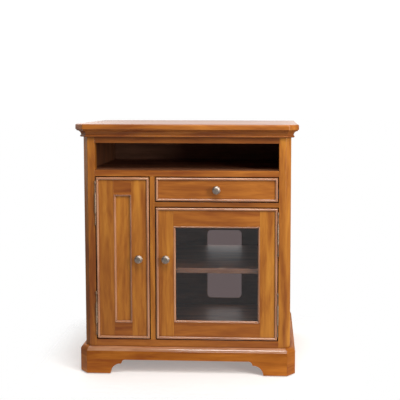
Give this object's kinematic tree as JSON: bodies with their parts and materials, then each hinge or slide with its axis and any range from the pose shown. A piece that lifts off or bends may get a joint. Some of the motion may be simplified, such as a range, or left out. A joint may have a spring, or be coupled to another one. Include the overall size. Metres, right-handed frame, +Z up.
{
  "type": "media cabinet",
  "caption": "Wooden media cabinet with clipped front corners, an open console bay, a panel door, a glazed door and a drawer, on a plinth with bracket feet.",
  "frame": {"origin": "centre of the overall footprint, on the floor under the glides", "axes": "+X to the viewer's right when facing the doors, +Y towards the back, +Z up"},
  "size_m": [0.854, 0.51, 0.9675],
  "materials": {
    "case_wood": "honey-brown satin lacquer over a reddish stain",
    "inner_wood": "dark brown satin",
    "back_board": "thin dark veneered board",
    "pane_glass": "clear flat glass",
    "hinge_metal": "antique brass",
    "knob_metal": "warm pewter, satin",
    "zinc_steel": "zinc plated",
    "glide_plastic": "dark brown nylon",
    "catch_plastic": "brown"
  },
  "bodies": {
    "carcass": {"top_panel": "case_wood", "crown_moulding": "case_wood", "corner_posts": "case_wood", "top_rail": "case_wood", "bay_rail": "case_wood", "drawer_rail": "case_wood", "bottom_rail": "case_wood", "centre_stile": "case_wood", "left_side_panel": "case_wood", "right_side_panel": "case_wood", "bay_floor": "inner_wood", "partition": "inner_wood", "cabinet_floor": "inner_wood", "back_panel": "back_board", "plinth_front": "case_wood", "plinth_corners": "case_wood", "plinth_sides": "case_wood", "plinth_back": "inner_wood", "corner_blocks": "inner_wood", "floor_glides": "glide_plastic", "media_shelf": "inner_wood", "disc_shelves": "inner_wood", "shelf_pins": "zinc_steel", "runner_spacer": "inner_wood", "cabinet_runners": "zinc_steel", "door_catches": "catch_plastic", "hinge_frame_leaves": "hinge_metal", "hinge_pins": "hinge_metal", "carcass_screws": "zinc_steel"},
    "panel_door": {"panel_door_hinge_stile": "case_wood", "panel_door_knob_stile": "case_wood", "panel_door_top_rail": "case_wood", "panel_door_bottom_rail": "case_wood", "door_panel": "case_wood", "panel_door_moulding": "case_wood", "panel_door_bead": "case_wood", "panel_door_hinge_leaves": "hinge_metal", "panel_door_screws": "zinc_steel", "panel_door_knob": "knob_metal", "panel_door_strike_plate": "zinc_steel"},
    "glass_door": {"glass_door_hinge_stile": "case_wood", "glass_door_knob_stile": "case_wood", "glass_door_top_rail": "case_wood", "glass_door_bottom_rail": "case_wood", "glass_pane": "pane_glass", "glass_door_moulding": "case_wood", "glass_stops": "case_wood", "glass_door_bead": "case_wood", "glass_door_hinge_leaves": "hinge_metal", "glass_door_screws": "zinc_steel", "glass_door_knob": "knob_metal", "glass_door_strike_plate": "zinc_steel"},
    "drawer": {"drawer_front": "case_wood", "drawer_bead": "case_wood", "drawer_sides": "inner_wood", "drawer_back": "inner_wood", "drawer_bottom": "back_board", "drawer_knob": "knob_metal", "drawer_runners": "zinc_steel"},
    "runner_middles": {"middle_runners": "zinc_steel"}
  },
  "joints": [
    {"name": "panel_door_hinge", "type": "hinge", "parent": "carcass", "child": "panel_door", "pos_m": [-0.35025, -0.2301, 0.45], "axis": [0, 0, -1], "range_deg": [0, 165]},
    {"name": "glass_door_hinge", "type": "hinge", "parent": "carcass", "child": "glass_door", "pos_m": [0.35025, -0.2301, 0.391], "axis": [0, 0, 1], "range_deg": [0, 165]},
    {"name": "drawer_slide", "type": "slide", "parent": "carcass", "child": "drawer", "axis": [0, -1, 0], "range_m": [0, 0.34]},
    {"name": "runner_middle_slide", "type": "slide", "parent": "carcass", "child": "runner_middles", "axis": [0, -1, 0], "range_m": [0, 0.17]}
  ],
  "couplings": [
    {"joint": "runner_middle_slide", "follows": "drawer_slide", "ratio": 0.5}
  ]
}
